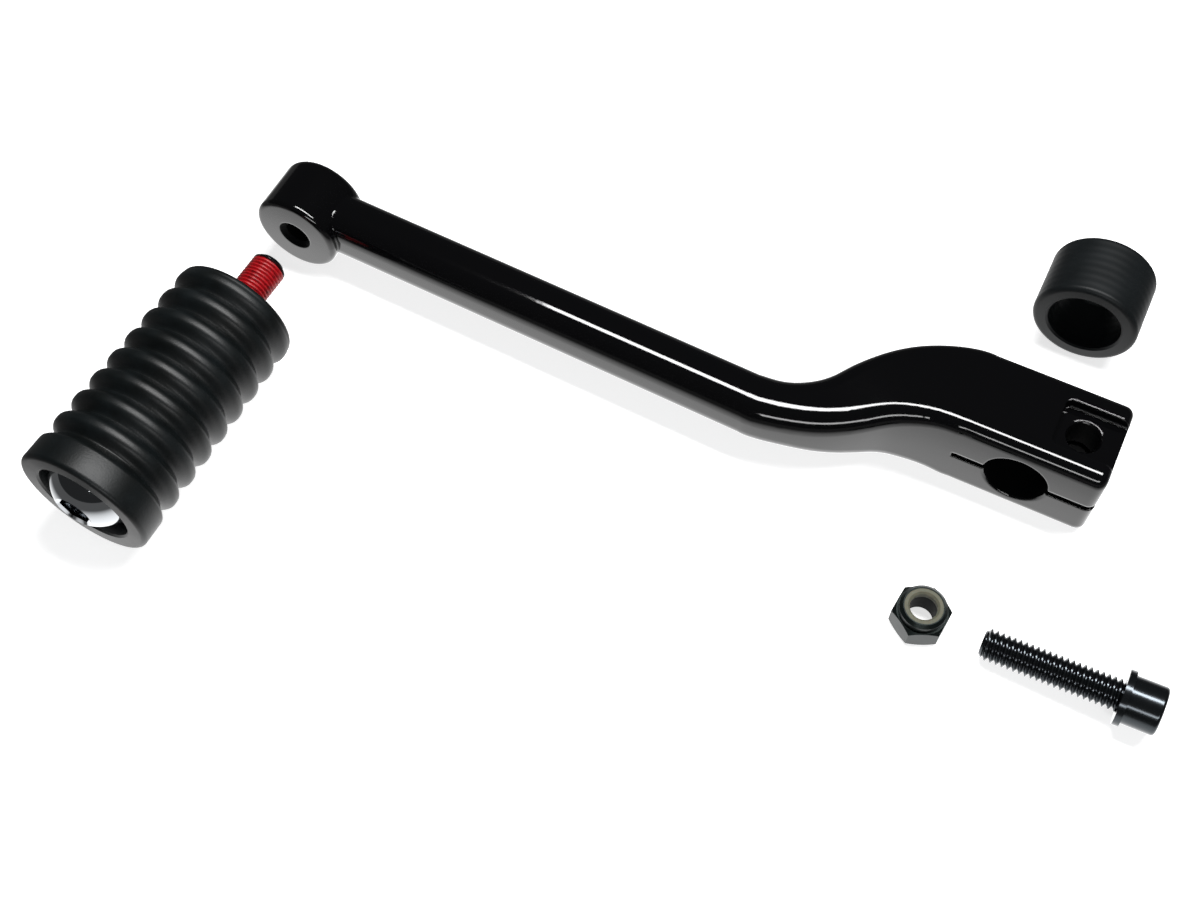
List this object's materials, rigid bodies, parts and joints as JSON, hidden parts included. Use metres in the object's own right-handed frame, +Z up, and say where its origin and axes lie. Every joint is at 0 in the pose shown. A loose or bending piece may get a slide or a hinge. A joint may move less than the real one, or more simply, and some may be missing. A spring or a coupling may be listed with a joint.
{
  "type": "heel-toe shifter",
  "caption": "Motorbike heel-toe shift lever kit: gloss black clamp lever with ribbed rubber foot peg, shaft spacer, pinch screw with washer and locking nut.",
  "frame": {"origin": "centre of the shaft bore at mid clamp width", "axes": "+Y along the shaft bore towards the gearbox side, +X out of the clamp's open end, +Z up; the surface that the kit lies on is half a clamp height below the origin"},
  "size_m": [0.2665, 0.1802, 0.033],
  "materials": {
    "gloss_black_coat": "gloss black powder coat",
    "black_rubber": "moulded matt rubber",
    "bright_steel": "dark chromed head and shank",
    "black_plastic": "turned satin plastic",
    "black_oxide_steel": "oiled black oxide",
    "black_zinc_steel": "black zinc plate",
    "nylon": "cream nylon"
  },
  "bodies": {
    "root": {"shift_lever": "gloss_black_coat", "peg_rubber": "black_rubber", "peg_stud": "bright_steel", "shaft_spacer": "black_plastic", "clamp_screw": "black_oxide_steel", "screw_washer": "black_oxide_steel", "lock_nut": "black_zinc_steel", "nut_insert": "nylon"}
  },
  "joints": []
}
